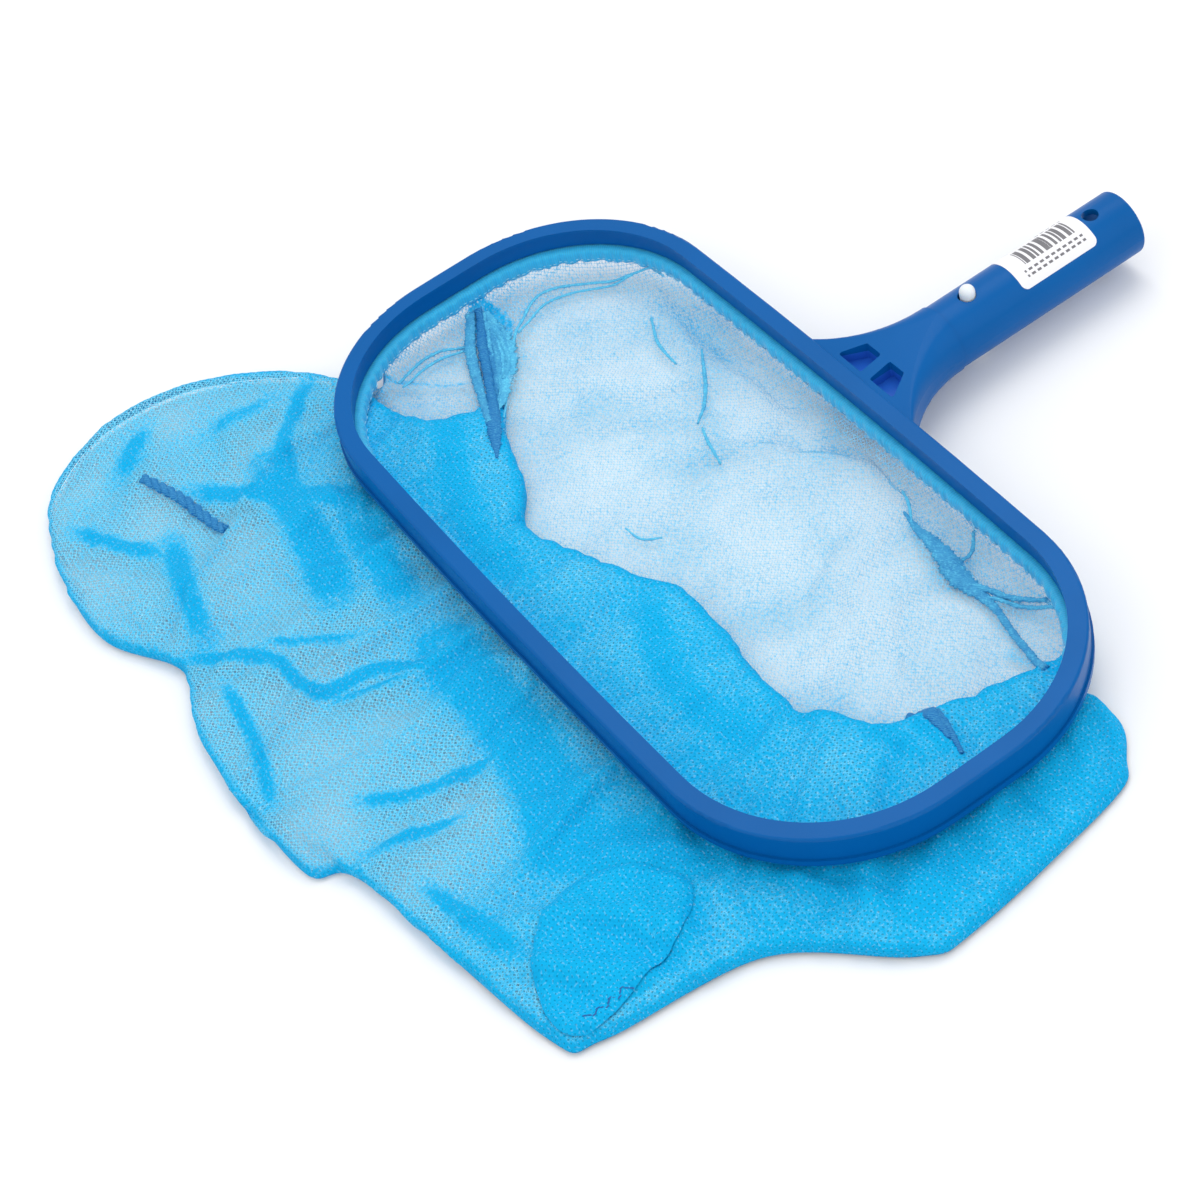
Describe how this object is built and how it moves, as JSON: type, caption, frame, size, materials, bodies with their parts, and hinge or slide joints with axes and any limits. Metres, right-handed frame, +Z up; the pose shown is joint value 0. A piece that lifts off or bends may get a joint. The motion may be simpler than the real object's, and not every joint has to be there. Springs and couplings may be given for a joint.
{
  "type": "leaf skimmer net",
  "caption": "Leaf skimmer net: rounded plastic rim with a flared yoke and tube handle, a knitted net bag and a sprung snap-button clip.",
  "frame": {"origin": "on the floor, under the middle of the rim's mouth", "axes": "+X along the rim, +Y towards the handle's open end, +Z up out of the mouth"},
  "size_m": [0.4507, 0.425, 0.0386],
  "materials": {
    "frame_plastic": "satin moulded polypropylene",
    "retainer_plastic": "satin moulded polypropylene",
    "net_mesh": "fine knitted mesh",
    "hem_tape": "sewn tape",
    "cord": "braided cord",
    "clip_steel": "spring strip",
    "button_white": "smooth",
    "label_paper": "printed sticker"
  },
  "bodies": {
    "root": {"frame": "frame_plastic", "net_retainer": "retainer_plastic", "hem_cord": "cord", "hem_binding": "hem_tape", "net_lower_panel": "net_mesh", "net_upper_panel": "net_mesh", "side_seam_left": "hem_tape", "side_seam_right": "hem_tape", "end_seam": "hem_tape", "clip_bend": "clip_steel", "label": "label_paper"},
    "top_button_arm": {"clip_leg_top": "clip_steel", "button_top": "button_white"},
    "bottom_button_arm": {"clip_leg_bottom": "clip_steel", "button_bottom": "button_white"}
  },
  "joints": [
    {"name": "top_button_press", "type": "hinge", "parent": "root", "child": "top_button_arm", "pos_m": [0, 0.211, 0.0216], "axis": [1, 0, 0], "range_deg": [0, 3.7], "stiffness_Nm_per_rad": 4, "springref_deg": -1.15},
    {"name": "bottom_button_press", "type": "hinge", "parent": "root", "child": "bottom_button_arm", "pos_m": [0, 0.211, 0.0184], "axis": [-1, 0, 0], "range_deg": [0, 3.7], "stiffness_Nm_per_rad": 4, "springref_deg": -1.15}
  ]
}
